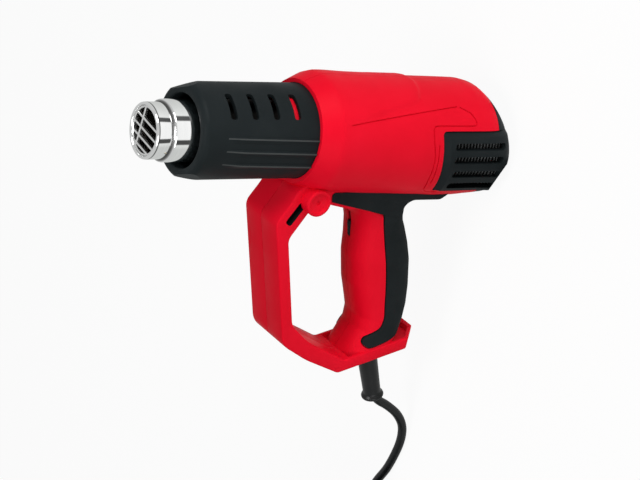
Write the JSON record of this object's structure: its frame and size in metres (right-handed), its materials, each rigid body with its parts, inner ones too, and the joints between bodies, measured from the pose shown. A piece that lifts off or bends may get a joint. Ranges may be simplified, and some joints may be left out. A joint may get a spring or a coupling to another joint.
{
  "type": "hot air tool",
  "caption": "Hand-held hot air tool with a barrel, a raked closed-loop handle, a vented nozzle shroud, a chrome outlet with a grille and a mains lead; a fan blows air over a heater.",
  "frame": {"origin": "on the barrel axis, at the middle of the flat rear face on which the tool stands", "axes": "+Z along the barrel axis towards the nozzle, -X towards the handle's base, -Y out of the side that shows"},
  "size_m": [0.4199, 0.1147, 0.258],
  "materials": {
    "red_plastic": "satin moulded",
    "black_plastic": "fine moulded texture",
    "soft_grip": "matte soft touch",
    "chrome_steel": "polished",
    "steel": "plain zinc plated",
    "mica": "sheet",
    "ceramic": "fired",
    "heating_wire": "oxidised",
    "white_plastic": "moulded",
    "circuit_board": "lacquered",
    "cord_rubber": "smooth",
    "brass": "plain"
  },
  "bodies": {
    "tool": {"rear_cap": "black_plastic", "right_intake_grid": "black_plastic", "left_intake_grid": "black_plastic", "right_housing": "red_plastic", "left_housing": "red_plastic", "right_soft_grip": "soft_grip", "left_soft_grip": "soft_grip", "boss_cover": "red_plastic", "nozzle_shroud": "black_plastic", "nozzle_tube": "chrome_steel", "nozzle_grille": "chrome_steel", "mica_sleeve": "mica", "heater_core": "mica", "heating_coil": "heating_wire", "heater_mount": "ceramic", "thermal_cutout": "steel", "fan_duct": "black_plastic", "motor_can": "steel", "motor_plate": "black_plastic", "rectifier_board": "circuit_board", "switch_body": "white_plastic", "strain_relief": "cord_rubber", "inner_cord": "cord_rubber", "cord_clamp": "white_plastic", "clamp_screw_1": "steel", "clamp_screw_2": "steel", "terminal_block": "white_plastic", "power_cord": "cord_rubber", "cord_coil": "cord_rubber", "cord_tie": "black_plastic", "plug_lead": "cord_rubber", "plug_body": "cord_rubber", "plug_pin_1": "brass", "plug_pin_2": "brass", "housing_screw_1": "steel", "housing_screw_2": "steel", "housing_screw_3": "steel", "housing_screw_4": "steel", "housing_screw_5": "steel", "housing_screw_6": "steel"},
    "rotor": {"fan": "black_plastic", "motor_shaft": "steel"},
    "slider": {"switch_slider": "black_plastic"}
  },
  "joints": [
    {"name": "fan_spin", "type": "hinge", "parent": "tool", "child": "rotor", "pos_m": [0, 0, 0.0955], "axis": [0, 0, 1], "continuous": true},
    {"name": "switch_slide", "type": "slide", "parent": "tool", "child": "slider", "axis": [0.9617, 0, 0.274], "range_m": [0, 0.007]}
  ]
}
